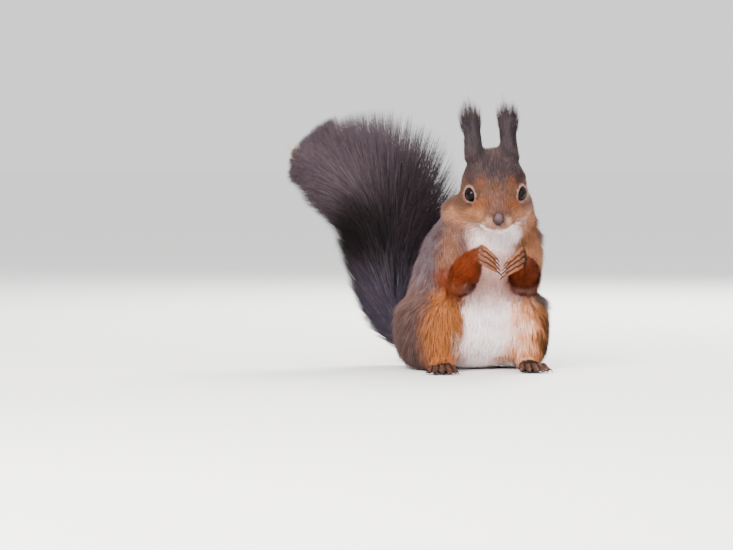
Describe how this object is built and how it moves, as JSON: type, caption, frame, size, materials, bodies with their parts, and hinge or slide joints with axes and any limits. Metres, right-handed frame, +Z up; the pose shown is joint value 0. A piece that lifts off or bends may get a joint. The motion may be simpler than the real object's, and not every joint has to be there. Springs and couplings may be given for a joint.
{
  "type": "red squirrel",
  "caption": "Still life-size red squirrel sitting upright, hands raised and cupped at its chin, bushy tail curled up behind, ears with winter tufts.",
  "frame": {"origin": "middle of the whole model's box, at floor level", "axes": "+Z up, -Y the way the head faces, towards a viewer in front; the animal's left side is towards +X and its tail curls up on the -X side"},
  "size_m": [0.1626, 0.1414, 0.1684],
  "materials": {
    "coat_russet": "soft russet fur, paler round the eyes and mouth",
    "coat_brown": "soft greyish brown fur with a white chest and belly",
    "coat_tail": "long dark brown tail and ear-tuft hair",
    "coat_rust": "short deep rust fur",
    "skin_paw": "thin short-haired skin of the hands and feet",
    "eye_black": "wet, near-black eye",
    "nose_skin": "finely grained, slightly moist skin",
    "claw_horn": "dark horn"
  },
  "bodies": {
    "root": {"claw_foot_left_1": "claw_horn", "claw_foot_left_2": "claw_horn", "claw_foot_left_3": "claw_horn", "claw_foot_left_4": "claw_horn", "claw_foot_left_5": "claw_horn", "claw_foot_right_1": "claw_horn", "claw_foot_right_2": "claw_horn", "claw_foot_right_3": "claw_horn", "claw_foot_right_4": "claw_horn", "claw_foot_right_5": "claw_horn", "claw_hand_left_1": "claw_horn", "claw_hand_left_2": "claw_horn", "claw_hand_left_3": "claw_horn", "claw_hand_left_4": "claw_horn", "claw_hand_right_1": "claw_horn", "claw_hand_right_2": "claw_horn", "claw_hand_right_3": "claw_horn", "claw_hand_right_4": "claw_horn", "ear_left": "coat_brown", "ear_right": "coat_brown", "ear_tuft_left": "coat_tail", "ear_tuft_right": "coat_tail", "eye_left": "eye_black", "eye_right": "eye_black", "foot_left": "skin_paw", "foot_right": "skin_paw", "forearm_left": "coat_rust", "forearm_right": "coat_rust", "hand_left": "skin_paw", "hand_right": "skin_paw", "head": "coat_russet", "neck": "coat_brown", "nose": "nose_skin", "tail_lower": "coat_tail", "tail_root": "coat_tail", "tail_tip": "coat_tail", "tail_upper": "coat_tail", "thigh_left": "coat_russet", "thigh_right": "coat_russet", "trunk": "coat_brown", "upper_arm_left": "coat_rust", "upper_arm_right": "coat_rust"}
  },
  "joints": []
}
